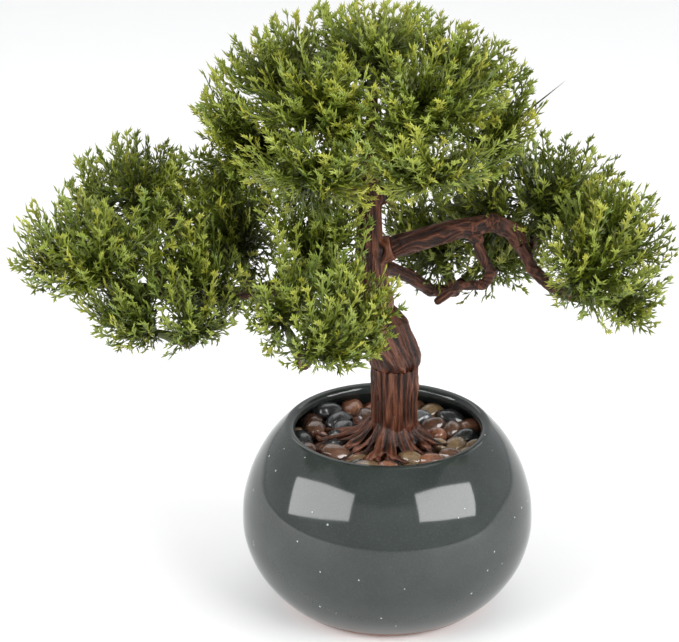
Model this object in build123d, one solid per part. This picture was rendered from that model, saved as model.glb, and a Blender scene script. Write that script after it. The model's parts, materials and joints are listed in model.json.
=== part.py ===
"""An artificial tabletop conifer, trained like a bonsai, standing in a round glazed pot.

The pot holds a block of foam with a bed of set glue on it. A steel stake stands in the foam
and carries the trunk, which is three mouldings: a stump with roots, a leaning knee and an
upper trunk. Moulded limbs plug into bosses on the trunk and on each other. Each limb ends in
short pegs, and a spray of leaves is pushed onto each peg by its collar, so that it can be
turned to shape the tree. Loose pebbles cover the glue round the roots.

Millimetres. +Z is up, +X is the tree's right as seen from its front, and -Y is its front.
The origin is the middle of the pot's flat base.
"""

import math
import os

from build123d import *

os.makedirs("parts", exist_ok=True)

# Pot
POT_DIAMETER = 120.0  # across the widest part of the belly
POT_HEIGHT = 77.8  # base to the top of the lip
BELLY_HEIGHT = 36.5  # base to the widest part
MOUTH_RADIUS = 40.6  # middle of the rounded lip
FOOT_RADIUS = 36.8  # flat base
POT_WALL = 5.0
POT_FLOOR = 6.0
FOOT_BEVEL = 0.8

# What fills the pot
BED_DROP = 13.8  # lip down to the top of the glue bed
BED_THICKNESS = 6.0
FOAM_RADIUS = 33.0  # passes through the mouth
FOAM_BEVEL = 4.0
FILL_CLEARANCE = 0.2
STAKE_DIAMETER = 3.2
STAKE_GRIP = 34.0  # length of stake inside the stump
STAKE_TIP = 8.0  # foam left under the stake

# Pebbles: two rings between the roots, and one all round inside the lip
PEBBLE_WIDTH = 7.6
PEBBLE_LENGTH = 11.6
PEBBLE_GAP = 1.2
PEBBLE_LEAST = 4.0  # no pebble is pressed in where there is less room than this
PEBBLE_EDGE = 3.6  # middle of the lip in to the middle of the outer ring
RING_STEP = 11.0  # the ring inside the lip in to the next
INNER_RING_STEP = 7.5  # that ring in to the innermost
PEBBLE_COLOURS = ("black", "brown", "tan", "rust", "grey")

# Trunk
STUMP_HEIGHT = 40.0
STUMP_FOOT_RADIUS = 12.0
STUMP_WAIST_RADIUS = 9.2
STUMP_X = 2.6  # the stump stands a little to the right of the middle
PLUG_RADIUS = 6.0  # round plug under the stump, set in the glue and the foam
PLUG_LENGTH = 18.0
KNEE_HEIGHT = 24.0
KNEE_FACETS = 8
UPPER_HEIGHT = 58.0
UPPER_FOOT = (-4.5, 3.0)
UPPER_BEND = (-8.0, 5.0)
UPPER_BEND_HEIGHT = 22.0
UPPER_FOOT_RADIUS = 6.6
UPPER_BEND_RADIUS = 5.4
UPPER_TOP_RADIUS = 4.6
TRUNK_SPIGOT_RADIUS = 4.0
TRUNK_SPIGOT_LENGTH = 8.0

# Roots: direction in degrees, how far short of the outer pebbles' middles the end stops,
# radius at the trunk
ROOTS = (
    (8, 10, 2.9),
    (52, 12, 2.6),
    (98, 10, 2.8),
    (143, 11, 2.6),
    (186, 4, 3.1),
    (224, 8, 2.7),
    (260, 7, 3.2),
    (293, 9, 3.0),
    (330, 9, 2.7),
)
ROOT_TIP_RADIUS = 1.2
ROOT_LIFT = 0.3  # above the glue bed

# Limb joints: a round spigot in a blind bore, face to face with a boss
BRANCH_SPIGOT = (2.2, 7.0)  # radius and length, into the trunk
TWIG_SPIGOT = (1.5, 5.0)  # radius and length, into a branch
FIT_CLEARANCE = 0.05  # on the radius, for every spigot, plug, peg and stake
END_CLEARANCE = 0.5  # at the blind end of every bore
BOSS_STEP = 0.7  # a boss stands out round the limb that it holds
LEAD = 5.0  # straight start of a limb, next to its boss
KNUCKLE = 1.06  # a limb is this much fatter at each bend

# Pegs at the limbs' ends, and the sprays that turn on them
ARM_LENGTH = 6.0  # fork's middle to the peg's shoulder
ARM_RADIUS = 2.3
PEG_RADIUS = 1.5
PEG_LENGTH = 6.0
COLLAR_RADIUS = 2.5
COLLAR_LENGTH = 10.0
COLLAR_GAP = 0.25  # collar to shoulder
SPRAY_LENGTHS = {"long": 30.0, "middle": 27.0, "short": 23.0}
LEAF_THICKNESS = 0.8
OUTER_LEAVES = 5
OUTER_LEAF_LEAN = 24.0
OUTER_LEAF_WIDTH = 7.0
INNER_LEAVES = 3
INNER_LEAF_LEAN = 9.0
INNER_LEAF_WIDTH = 6.0

# Crown: rings of sprays round the leader
TIP_RISE = 25.0  # trunk's top to the tip fork
UPPER_RING = 5
UPPER_RING_RADIUS = 17.0
UPPER_RING_RISE = 16.0
UPPER_RING_LEAN = 40.0
UPPER_RING_START = 18.0
LOWER_RING = 6
LOWER_RING_RADIUS = 26.0
LOWER_RING_RISE = 2.0
LOWER_RING_LEAN = 68.0
CROWN_SOCKET_DROP = 14.0  # trunk's top down to the crown forks' sockets
CROWN_SOCKET_LEAN = 60.0
CROWN_MIDDLE = (-7.0, 3.0)

bed_top = POT_HEIGHT - BED_DROP
edge_ring = MOUTH_RADIUS - PEBBLE_EDGE
foam_top = bed_top - BED_THICKNESS
knee_foot = bed_top + STUMP_HEIGHT
upper_foot = knee_foot + KNEE_HEIGHT
upper_top = upper_foot + UPPER_HEIGHT

# Limbs other than the crown's are placed from the foot of the upper trunk, and the crown's
# from its top, so each group moves as a whole when the trunk below it changes.
AT_FOOT = Vector(0, 0, upper_foot)
AT_TOP = Vector(0, 0, upper_top)


def direction(turn, lean):
    """Unit vector: turn is degrees round from the right, lean is degrees from straight up."""
    side = math.sin(math.radians(lean))
    rise = math.cos(math.radians(lean))
    return Vector(side * math.cos(math.radians(turn)), side * math.sin(math.radians(turn)), rise)


def bar(start, end, start_radius, end_radius):
    """A straight round bar, tapered when its two radii differ."""
    run = end - start
    upright = (Align.CENTER, Align.CENTER, Align.MIN)
    if abs(start_radius - end_radius) < 1e-6:
        solid = Cylinder(start_radius, run.length, align=upright)
    else:
        solid = Cone(start_radius, end_radius, run.length, align=upright)
    return Plane(origin=start, z_dir=run) * solid


def bent_bar(points, radii):
    """Tapered bars end to end with a round knuckle at each bend and at the far end."""
    solid = bar(points[0], points[1], radii[0], radii[1])
    for k in range(1, len(points) - 1):
        solid += bar(points[k], points[k + 1], radii[k], radii[k + 1])
        solid += Pos(points[k]) * Sphere(KNUCKLE * radii[k])
    solid += Pos(points[-1]) * Sphere(KNUCKLE * radii[-1])
    return solid


def write(solid, name):
    export_step(solid, f"parts/{name}.step")


# --- Pot and filling -------------------------------------------------------------------


def wall_point(height, offset):
    """A point on the wall, offset outwards from its middle surface."""
    belly = (POT_DIAMETER - POT_WALL) / 2
    if height < BELLY_HEIGHT:
        end_radius, end_height = FOOT_RADIUS - POT_WALL / 2, 0.0
    else:
        end_radius, end_height = MOUTH_RADIUS, POT_HEIGHT - POT_WALL / 2
    # An ellipse through the belly and the foot or the lip
    reach = (end_height - BELLY_HEIGHT) / math.sqrt(1 - (end_radius / belly) ** 2)
    share = (height - BELLY_HEIGHT) / reach
    radius = belly * math.sqrt(1 - share**2)
    slope_out = radius / belly**2
    slope_up = (height - BELLY_HEIGHT) / reach**2
    length = math.hypot(slope_out, slope_up)
    return (radius + offset * slope_out / length, height + offset * slope_up / length)


def inner_radius(height):
    """Radius of the pot's inside at a height above its belly."""
    low, high = BELLY_HEIGHT, POT_HEIGHT - POT_WALL / 2
    for _ in range(40):
        middle = (low + high) / 2
        if wall_point(middle, -POT_WALL / 2)[1] > height:
            high = middle
        else:
            low = middle
    return wall_point(low, -POT_WALL / 2)[0]


def make_pot():
    lip = POT_HEIGHT - POT_WALL / 2
    heights = [lip * k / 8 for k in range(9)]
    outside = [wall_point(h, POT_WALL / 2) for h in heights]
    inside = [wall_point(h, -POT_WALL / 2) for h in heights]
    floor_point = (FOOT_RADIUS - POT_WALL, POT_FLOOR)
    inside = [p for p in inside if p[1] > POT_FLOOR + POT_WALL]
    foot = (FOOT_RADIUS, 0.0)
    shoulder = (FOOT_RADIUS + FOOT_BEVEL, FOOT_BEVEL)
    outside = [p for p in outside if p[1] > 2 * FOOT_BEVEL]
    profile = Line((0, 0), foot)
    profile += Line(foot, shoulder)
    profile += Spline([shoulder] + outside)
    end_out, end_in = outside[-1], inside[-1]
    profile += ThreePointArc(end_out, lip_crest(), end_in)
    profile += Spline(list(reversed(inside)) + [floor_point])
    profile += Line(floor_point, (0, POT_FLOOR))
    profile += Line((0, POT_FLOOR), (0, 0))
    return revolve(Plane.XZ * make_face(profile), Axis.Z)


def lip_crest():
    """The point halfway round the rounded lip."""
    lip = POT_HEIGHT - POT_WALL / 2
    middle = wall_point(lip, 0.0)
    out = wall_point(lip, POT_WALL / 2)
    across = (out[0] - middle[0], out[1] - middle[1])
    return (middle[0] - across[1], middle[1] + across[0])


def plug_bore(depth):
    """The hole that the stump's plug leaves in the glue and the foam."""
    radius = PLUG_RADIUS + FIT_CLEARANCE
    return Pos(STUMP_X, 0, bed_top - depth) * Cylinder(
        radius, depth, align=(Align.CENTER, Align.CENTER, Align.MIN)
    )


def make_foam_block():
    height = foam_top - POT_FLOOR
    block = Pos(0, 0, POT_FLOOR) * Cylinder(
        FOAM_RADIUS, height, align=(Align.CENTER, Align.CENTER, Align.MIN)
    )
    block = chamfer(block.edges().group_by(Axis.Z)[0], FOAM_BEVEL)
    block -= plug_bore(PLUG_LENGTH + END_CLEARANCE)
    hole = STAKE_DIAMETER / 2 + FIT_CLEARANCE
    start = Vector(STUMP_X, 0, POT_FLOOR + STAKE_TIP)
    return block - bar(start, Vector(STUMP_X, 0, foam_top), hole, hole)


def make_glue_bed():
    low = inner_radius(foam_top) - FILL_CLEARANCE
    high = inner_radius(bed_top) - FILL_CLEARANCE
    bed = bar(Vector(0, 0, foam_top), Vector(0, 0, bed_top), low, high)
    return bed - plug_bore(BED_THICKNESS + END_CLEARANCE)


def stake_top():
    return bed_top - PLUG_LENGTH + STAKE_GRIP


def make_stake():
    radius = STAKE_DIAMETER / 2
    foot = Vector(STUMP_X, 0, POT_FLOOR + STAKE_TIP + END_CLEARANCE)
    return bar(foot, Vector(STUMP_X, 0, stake_top()), radius, radius)


# --- Trunk -----------------------------------------------------------------------------


def root_route(turn, reach):
    """From inside the stump, over its flare and out along the glue bed."""
    knees = ((5.0, 14.0), (10.5, 8.0), (0.45 * reach + 4.0, 3.9), (reach, 1.6))
    points = []
    for k, (out, up) in enumerate(knees):
        bend = turn + (5.0 if k == 2 else 0.0) - (4.0 if k == 3 else 0.0)
        side = Vector(math.cos(math.radians(bend)), math.sin(math.radians(bend)), 0)
        points.append(Vector(STUMP_X, 0, up) + side * out)
    return points


def make_stump():
    """Modelled with z = 0 on the glue bed, then lifted."""
    middle = Vector(STUMP_X, 0, 0)
    up = Vector(0, 0, 1)
    waist = middle + up * 14.0
    head = middle + up * STUMP_HEIGHT
    stump = bar(middle, waist, STUMP_FOOT_RADIUS, STUMP_WAIST_RADIUS)
    stump += bar(waist, head, STUMP_WAIST_RADIUS, STUMP_WAIST_RADIUS + 0.4)
    for turn, short, radius in ROOTS:
        points = root_route(turn, edge_ring - short)
        points[-1] = Vector(points[-1].X, points[-1].Y, ROOT_TIP_RADIUS * KNUCKLE + ROOT_LIFT)
        radii = [radius + 0.6, radius, (radius + ROOT_TIP_RADIUS) / 2, ROOT_TIP_RADIUS]
        stump += bent_bar(points, radii)
    stump += bar(middle - up * PLUG_LENGTH, middle + up, PLUG_RADIUS, PLUG_RADIUS)
    stump += bar(head, head + up * TRUNK_SPIGOT_LENGTH, TRUNK_SPIGOT_RADIUS, TRUNK_SPIGOT_RADIUS)
    hole = STAKE_DIAMETER / 2 + FIT_CLEARANCE
    low = middle - up * (PLUG_LENGTH + 1)
    stump -= bar(low, middle + up * (STAKE_GRIP - PLUG_LENGTH + END_CLEARANCE), hole, hole)
    return Pos(0, 0, bed_top) * stump


def make_knee():
    """A faceted moulding that leans from the stump's head to the upper trunk's foot."""
    foot_x, foot_y = UPPER_FOOT
    rings = (
        (0.0, STUMP_X, 0.0, 9.9, 10.0),
        (0.25, 2.4, 0.4, 10.9, 16.0),
        (0.78, -0.6, 1.8, 8.6, 26.0),
        (1.0, foot_x, foot_y, 7.2, 30.0),
    )
    faces = []
    for share, x, y, radius, twist in rings:
        place = Pos(x, y, knee_foot + share * KNEE_HEIGHT) * Rot(0, 0, twist)
        faces.append(place * RegularPolygon(radius, KNEE_FACETS))
    knee = loft(faces, ruled=True)
    hole = TRUNK_SPIGOT_RADIUS + FIT_CLEARANCE
    deep = Vector(0, 0, TRUNK_SPIGOT_LENGTH + END_CLEARANCE)
    low = Vector(STUMP_X, 0, knee_foot)
    high = Vector(foot_x, foot_y, upper_foot)
    knee -= bar(low, low + deep, hole, hole)
    return knee - bar(high - deep, high, hole, hole)


# --- Limbs -----------------------------------------------------------------------------


class Socket:
    """Where a limb plugs into its parent: a boss with a flat face and a blind bore."""

    def __init__(self, core, turn, lean, reach, radius, spigot=BRANCH_SPIGOT):
        self.core = core
        self.along = direction(turn, lean)
        self.face = core + self.along * reach
        self.radius = radius
        self.peg_radius, self.peg_length = spigot

    def boss(self):
        wide = self.radius + BOSS_STEP
        return bar(self.core, self.face, wide, wide)

    def bore(self):
        inner = self.face - self.along * (self.peg_length + END_CLEARANCE)
        radius = self.peg_radius + FIT_CLEARANCE
        return bar(inner, self.face + self.along, radius, radius)

    def spigot(self):
        inner = self.face - self.along * self.peg_length
        return bar(inner, self.lead(), self.peg_radius, self.peg_radius)

    def lead(self):
        return self.face + self.along * LEAD


def trunk_axis(height):
    """The middle of the upper trunk, a height above its foot."""
    foot = Vector(*UPPER_FOOT)
    bend = Vector(*UPPER_BEND)
    share = min(1.0, height / UPPER_BEND_HEIGHT)
    middle = foot + (bend - foot) * share
    return Vector(middle.X, middle.Y, height)


def fork_arms(centre, arms):
    """Short arms from a fork's middle, each with a shoulder and a peg."""
    solid = Pos(centre) * Sphere(ARM_RADIUS * KNUCKLE)
    for turn, lean, _ in arms:
        along = direction(turn, lean)
        shoulder = centre + along * ARM_LENGTH
        solid += bar(centre, shoulder, ARM_RADIUS, ARM_RADIUS)
        solid += bar(centre, shoulder + along * PEG_LENGTH, PEG_RADIUS, PEG_RADIUS)
    return solid


def make_limb(own, runs, forks=(), sockets=()):
    """A moulded limb.

    own is the socket that holds it. Each run is a list of points and the radii at them,
    and a run whose first point is None starts where the limb's straight start ends.
    """
    solid = bar(own.face, own.lead(), own.radius, own.radius) + own.spigot()
    solid += Pos(own.lead()) * Sphere(KNUCKLE * own.radius)
    for points, radii in runs:
        start = own.lead() if points[0] is None else points[0]
        solid += bent_bar([start] + points[1:], radii)
    for fork in forks:
        solid += fork_arms(FORKS[fork][0], FORKS[fork][1])
    for socket in sockets:
        solid += socket.boss()
    for socket in sockets:
        solid -= socket.bore()
    return solid


# Sockets on the upper trunk, and on the branches, from the upper trunk's foot
left_socket = Socket(trunk_axis(14), 150, 100, 12.0, 3.6)
front_socket = Socket(trunk_axis(9), 231, 101, 11.5, 3.2)
right_socket = Socket(trunk_axis(22), 355, 71, 10.0, 4.4)
rear_socket = Socket(trunk_axis(17), 58, 112, 10.5, 3.0)
left_upper_socket = Socket(Vector(-92, 3.3, 6), 106, 43, 6.5, 2.4, TWIG_SPIGOT)
left_lower_socket = Socket(Vector(-78, 6.7, 2), 263, 126, 6.5, 2.4, TWIG_SPIGOT)
outer_socket = Socket(Vector(50, 1, 33), 330, 150, 5.5, 2.6, TWIG_SPIGOT)
inner_socket = Socket(Vector(33, 1, 35.4), 346, 162, 7.0, 2.2, TWIG_SPIGOT)
rear_twig_socket = Socket(Vector(44, 0.3, 36), 63, 124, 6.5, 2.5, TWIG_SPIGOT)

# Sockets on the upper trunk, from its top
crown_core = Vector(*UPPER_BEND, -CROWN_SOCKET_DROP)
leader_socket = Socket(Vector(*UPPER_BEND, -6), 0, 0, 6.0, 3.4)
crown_left_socket = Socket(crown_core, 180, CROWN_SOCKET_LEAN, 9.5, 2.8)
crown_right_socket = Socket(crown_core, 0, CROWN_SOCKET_LEAN, 9.5, 2.8)

# Forks from the upper trunk's foot: middle, then each spray's turn, lean and length
FORKS = {
    "left_outer": (Vector(-108, -6, 12), [(185, 64, "long"), (256, 50, "middle")]),
    "left_upper": (
        Vector(-96, 16, 22),
        [(200, 10, "long"), (90, 64, "middle"), (160, 66, "middle")],
    ),
    "left_lower": (
        Vector(-80, -10, -10),
        [(215, 62, "middle"), (0, 20, "middle"), (282, 60, "middle")],
    ),
    "left_middle": (Vector(-56, 14, 2), [(180, 10, "long"), (110, 62, "middle")]),
    "front_outer": (
        Vector(-34, -34, -9),
        [(195, 22, "middle"), (10, 46, "middle"), (286, 54, "short")],
    ),
    "front_inner": (Vector(-34, -4, -2), [(330, 12, "short")]),
    "right_outer": (
        Vector(70, -6, 9),
        [(352, 98, "middle"), (285, 50, "middle"), (10, 34, "middle")],
    ),
    "right_rear": (
        Vector(58, 20, 19),
        [(320, 14, "middle"), (50, 58, "long"), (190, 44, "middle")],
    ),
    "rear": (
        Vector(28, 40, -8),
        [(20, 50, "middle"), (110, 60, "middle"), (180, 20, "middle")],
    ),
}


def ring_fork(turn, radius, rise):
    """The middle of a crown fork, from the trunk's top."""
    x, y = CROWN_MIDDLE
    across = direction(turn, 90) * radius
    return Vector(x, y, rise) + across


CROWN_FORKS = {"crown_tip": (Vector(*CROWN_MIDDLE, TIP_RISE), [(0, 0, "long")])}
for k in range(UPPER_RING):
    turn = UPPER_RING_START + 360 * k / UPPER_RING
    middle = ring_fork(turn, UPPER_RING_RADIUS, UPPER_RING_RISE)
    CROWN_FORKS[f"crown_upper_{k + 1}"] = (middle, [(turn, UPPER_RING_LEAN, "long")])
for k in range(LOWER_RING):
    turn = 360 * k / LOWER_RING
    middle = ring_fork(turn, LOWER_RING_RADIUS, LOWER_RING_RISE)
    CROWN_FORKS[f"crown_lower_{k + 1}"] = (middle, [(turn, LOWER_RING_LEAN, "long")])
FORKS.update(CROWN_FORKS)


def make_upper_trunk():
    top = Vector(*UPPER_BEND, UPPER_HEIGHT)
    foot = trunk_axis(0)
    start = foot + Vector(0, 0, 2)
    trunk = bar(foot, start, UPPER_FOOT_RADIUS, UPPER_FOOT_RADIUS)
    # The start is rounded over, so that the slanting run turns on it
    width = 2 * UPPER_FOOT_RADIUS
    above = Pos(start) * Cylinder(width, width, align=(Align.CENTER, Align.CENTER, Align.MIN))
    trunk += Pos(start) * Sphere(UPPER_FOOT_RADIUS) & above
    bend = trunk_axis(UPPER_BEND_HEIGHT)
    trunk += bar(start, bend, UPPER_FOOT_RADIUS, UPPER_BEND_RADIUS)
    trunk += Pos(bend) * Sphere(KNUCKLE * UPPER_BEND_RADIUS)
    trunk += bar(bend, top, UPPER_BEND_RADIUS, UPPER_TOP_RADIUS)
    crown_sockets = [leader_socket, crown_left_socket, crown_right_socket]
    low_sockets = [left_socket, front_socket, right_socket, rear_socket]
    lift = Pos(0, 0, UPPER_HEIGHT)
    for socket in low_sockets:
        trunk += socket.boss()
    for socket in crown_sockets:
        trunk += lift * socket.boss()
    for socket in low_sockets:
        trunk -= socket.bore()
    for socket in crown_sockets:
        trunk -= lift * socket.bore()
    deep = Vector(0, 0, TRUNK_SPIGOT_LENGTH)
    return trunk + bar(foot - deep, start, TRUNK_SPIGOT_RADIUS, TRUNK_SPIGOT_RADIUS)


def make_limbs():
    """Every limb below the crown, from the upper trunk's foot."""
    left_run = [None, Vector(-30, 18, 6), FORKS["left_middle"][0], Vector(-80, 6, 2)]
    left_run += [Vector(-98, 2, 8), FORKS["left_outer"][0]]
    front_bend = Vector(-20, -15, 4)
    front_run = [None, front_bend, Vector(-30, -26, -8), FORKS["front_outer"][0]]
    right_run = [None, Vector(24, 2, 33), Vector(41, 0, 37.5), outer_socket.core]
    outer_run = [None, Vector(57, -3, 19), Vector(63, -4, 13), FORKS["right_outer"][0]]
    inner_run = [None, Vector(41, -2, 17), Vector(38, -3, 12), Vector(28, -4, 12)]
    inner_run += [Vector(19.5, -4, 5.5)]
    rear_run = [None, Vector(9, 29, 3), Vector(18, 36, -6), FORKS["rear"][0]]
    limbs = {
        "left_branch": make_limb(
            left_socket,
            [(left_run, [3.6, 3.4, 3.0, 2.8, 2.6, 2.4])],
            ["left_middle", "left_outer"],
            [left_upper_socket, left_lower_socket],
        ),
        "left_upper_twig": make_limb(
            left_upper_socket,
            [([None, FORKS["left_upper"][0]], [2.4, 2.4])],
            ["left_upper"],
        ),
        "left_lower_twig": make_limb(
            left_lower_socket,
            [([None, FORKS["left_lower"][0]], [2.4, 2.4])],
            ["left_lower"],
        ),
        "front_left_branch": make_limb(
            front_socket,
            [
                (front_run, [3.2, 3.0, 2.6, 2.4]),
                ([front_bend, Vector(-30, -8, 0), FORKS["front_inner"][0]], [2.5, 2.3, 2.3]),
            ],
            ["front_outer", "front_inner"],
        ),
        "right_branch": make_limb(
            right_socket,
            [(right_run, [4.5, 4.0, 3.5, 3.3])],
            (),
            [outer_socket, inner_socket, rear_twig_socket],
        ),
        "right_outer_twig": make_limb(
            outer_socket,
            [(outer_run, [2.6, 2.5, 2.4, 2.3])],
            ["right_outer"],
        ),
        "right_rear_twig": make_limb(
            rear_twig_socket,
            [([None, Vector(56, 13, 18), FORKS["right_rear"][0]], [2.5, 2.4, 2.3])],
            ["right_rear"],
        ),
        "right_inner_twig": make_limb(
            inner_socket,
            [(inner_run, [2.2, 2.1, 2.0, 1.8, 1.5])],
        ),
        "rear_branch": make_limb(
            rear_socket,
            [(rear_run, [3.0, 2.8, 2.6, 2.4])],
            ["rear"],
        ),
    }
    return limbs


def make_crown_limbs():
    """The crown's leader and its two forks, from the upper trunk's top."""
    hub = Vector(*CROWN_MIDDLE, UPPER_RING_RISE - 5)
    uppers = [f"crown_upper_{k + 1}" for k in range(UPPER_RING)]
    lowers = [f"crown_lower_{k + 1}" for k in range(LOWER_RING)]
    leader_runs = [([None, hub, FORKS["crown_tip"][0]], [3.4, 3.0, 2.4])]
    leader_runs += [([hub, FORKS[name][0]], [2.5, 2.3]) for name in uppers]
    rights = [name for name in lowers if FORKS[name][0].X > CROWN_MIDDLE[0]]
    lefts = [name for name in lowers if name not in rights]
    return {
        "crown_leader": make_limb(leader_socket, leader_runs, ["crown_tip"] + uppers),
        "crown_left_fork": make_limb(
            crown_left_socket, [([None, FORKS[n][0]], [2.6, 2.3]) for n in lefts], lefts
        ),
        "crown_right_fork": make_limb(
            crown_right_socket, [([None, FORKS[n][0]], [2.6, 2.3]) for n in rights], rights
        ),
    }


# --- Sprays ----------------------------------------------------------------------------


def leaf(length, width):
    """A flat pointed leaf standing on the origin, its face towards +Y."""
    root, tip = (0, 0), (0, length)
    outline = ThreePointArc(root, (width / 2, length / 2), tip)
    outline += ThreePointArc(tip, (-width / 2, length / 2), root)
    flat = Plane.XZ * make_face(outline)
    return extrude(flat, LEAF_THICKNESS / 2, both=True)


def make_spray(length):
    """A collar with a blind bore and a tuft of leaves, standing on its peg's shoulder."""
    upright = (Align.CENTER, Align.CENTER, Align.MIN)
    collar = Pos(0, 0, COLLAR_GAP) * Cylinder(COLLAR_RADIUS, COLLAR_LENGTH, align=upright)
    collar = chamfer(collar.edges().group_by(Axis.Z)[-1], 0.6)
    root = COLLAR_GAP + COLLAR_LENGTH - 1.5
    spray = collar
    for k in range(OUTER_LEAVES):
        spray += (
            Rot(0, 0, 360 * k / OUTER_LEAVES)
            * Pos(0, 0, root)
            * Rot(-OUTER_LEAF_LEAN, 0, 0)
            * leaf(length * 0.97, OUTER_LEAF_WIDTH)
        )
    for k in range(INNER_LEAVES):
        spray += (
            Rot(0, 0, 360 * (k + 0.5) / INNER_LEAVES)
            * Pos(0, 0, root)
            * Rot(-INNER_LEAF_LEAN, 0, 0)
            * leaf(length, INNER_LEAF_WIDTH)
        )
    bore = Cylinder(
        PEG_RADIUS + FIT_CLEARANCE, PEG_LENGTH + END_CLEARANCE, align=upright
    )
    return spray - bore


def spray_place(centre, turn, lean):
    """The place of a spray: its origin on the shoulder, its axis along the peg."""
    along = direction(turn, lean)
    return Plane(origin=centre + along * ARM_LENGTH, z_dir=along)


# --- Pebbles ---------------------------------------------------------------------------


def pebble(length, width):
    """A smooth round-ended pebble lying along X, its middle at the origin."""
    half = length / 2
    curve = EllipticalCenterArc((0, 0), half, width / 2, start_angle=0, arc_size=180)
    outline = make_face(curve + Line((-half, 0), (half, 0)))
    return revolve(outline, Axis.X)


def lay_pebble(middle_x, radius, turn, length, width):
    """On the glue bed, its length round the ring."""
    x = middle_x + radius * math.cos(math.radians(turn))
    y = radius * math.sin(math.radians(turn))
    rest = bed_top + width / 2 + 0.1
    return Pos(x, y, rest) * Rot(0, 0, turn + 90) * pebble(length, width)


def make_pebbles():
    groups = {colour: [] for colour in PEBBLE_COLOURS}
    stones = []
    turns = [turn for turn, _, _ in ROOTS]
    outer = edge_ring - RING_STEP
    for ring, radius in enumerate((outer - INNER_RING_STEP, outer)):
        # A ring is laid only where its pebbles clear the stump's foot
        if radius - PEBBLE_WIDTH / 2 < STUMP_FOOT_RADIUS + PEBBLE_GAP:
            continue
        for k, turn in enumerate(turns):
            gap = (turns[(k + 1) % len(turns)] - turn) % 360
            chord = 2 * radius * math.sin(math.radians(gap / 2))
            room = chord - 2 * ROOTS[k][2] * (1.0 if ring == 0 else 0.8) - 2 * PEBBLE_GAP
            if room > PEBBLE_LEAST:
                length = min(PEBBLE_LENGTH, room)
                width = min(PEBBLE_WIDTH if ring else 6.0, length * 0.9)
                stones.append(lay_pebble(STUMP_X, radius, turn + gap / 2, length, width))
    places = int(2 * math.pi * edge_ring / (PEBBLE_LENGTH + PEBBLE_GAP))
    pitch = 2 * edge_ring * math.sin(math.pi / places)
    for k in range(places):
        length = pitch - PEBBLE_GAP * (1 + 0.5 * (k % 3))
        width = PEBBLE_WIDTH - 0.5 * (k % 2)
        stones.append(lay_pebble(0, edge_ring, 360 * k / places, length, width))
    for k, stone in enumerate(stones):
        groups[PEBBLE_COLOURS[(3 * k + k // 4) % len(PEBBLE_COLOURS)]].append(stone)
    return groups


# --- Write every piece -----------------------------------------------------------------

write(make_pot(), "pot")
write(make_foam_block(), "foam_block")
write(make_glue_bed(), "glue_bed")
write(make_stake(), "anchor_stake")
for colour, stones in make_pebbles().items():
    write(Compound(children=stones), f"{colour}_pebbles")
write(make_stump(), "trunk_stump")
write(make_knee(), "trunk_knee")
write(Pos(AT_FOOT) * make_upper_trunk(), "trunk_upper")
for name, limb in make_limbs().items():
    write(Pos(AT_FOOT) * limb, name)
for name, limb in make_crown_limbs().items():
    write(Pos(AT_TOP) * limb, name)

sprays = {size: make_spray(length) for size, length in SPRAY_LENGTHS.items()}
for fork, (centre, arms) in FORKS.items():
    lift = AT_TOP if fork in CROWN_FORKS else AT_FOOT
    for k, (turn, lean, size) in enumerate(arms):
        name = f"spray_{fork}" if len(arms) == 1 else f"spray_{fork}_{k + 1}"
        write(spray_place(centre + lift, turn, lean) * sprays[size], name)
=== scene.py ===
"""Finishes an artificial tabletop conifer in a round glazed pot, as a Blender add-on.

Each moulding is made round its CAD node: bark with fibrous ridges, leaf sprays with feathered
fronds, pebbles and a lathe-turned glazed pot. Everything is in metres, in the frame that the
CAD nodes share.
"""

import json
import math

import bpy
import numpy as np
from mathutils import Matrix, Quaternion, Vector


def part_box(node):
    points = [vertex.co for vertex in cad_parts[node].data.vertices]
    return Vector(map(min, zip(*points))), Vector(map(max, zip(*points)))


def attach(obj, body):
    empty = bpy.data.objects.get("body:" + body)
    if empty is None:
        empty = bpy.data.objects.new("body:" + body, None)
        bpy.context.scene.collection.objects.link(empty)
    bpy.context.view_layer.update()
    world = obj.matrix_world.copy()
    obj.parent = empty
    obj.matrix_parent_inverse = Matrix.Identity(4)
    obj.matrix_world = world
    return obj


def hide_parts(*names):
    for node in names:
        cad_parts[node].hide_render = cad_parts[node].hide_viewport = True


bl_info = {
    "name": "Potted Tabletop Conifer",
    "version": (1, 0, 0),
    "blender": (4, 5, 0),
    "location": "View3D > Sidebar > Conifer",
    "description": "Builds the leaf sprays, bark, pebbles and glazed pot of an artificial bonsai",
    "category": "Add Mesh",
}

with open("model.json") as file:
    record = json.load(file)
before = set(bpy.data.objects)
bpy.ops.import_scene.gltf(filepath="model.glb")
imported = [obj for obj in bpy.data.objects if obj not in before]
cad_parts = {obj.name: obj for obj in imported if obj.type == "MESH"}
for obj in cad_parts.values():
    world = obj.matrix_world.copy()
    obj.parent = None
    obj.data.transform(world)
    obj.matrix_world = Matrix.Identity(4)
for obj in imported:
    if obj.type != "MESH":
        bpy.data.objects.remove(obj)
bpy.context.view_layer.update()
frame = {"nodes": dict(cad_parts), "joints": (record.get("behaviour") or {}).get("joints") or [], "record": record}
POT_LOW, POT_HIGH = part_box("pot")
BED_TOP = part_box("glue_bed")[1].z
MM = 0.001

BARK_NODES = sorted(
    s["node"] for s in frame["record"]["subparts"] if s["material_slot"] == "bark"
)


# --- Sizes and colours ------------------------------------------------------------------


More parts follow.
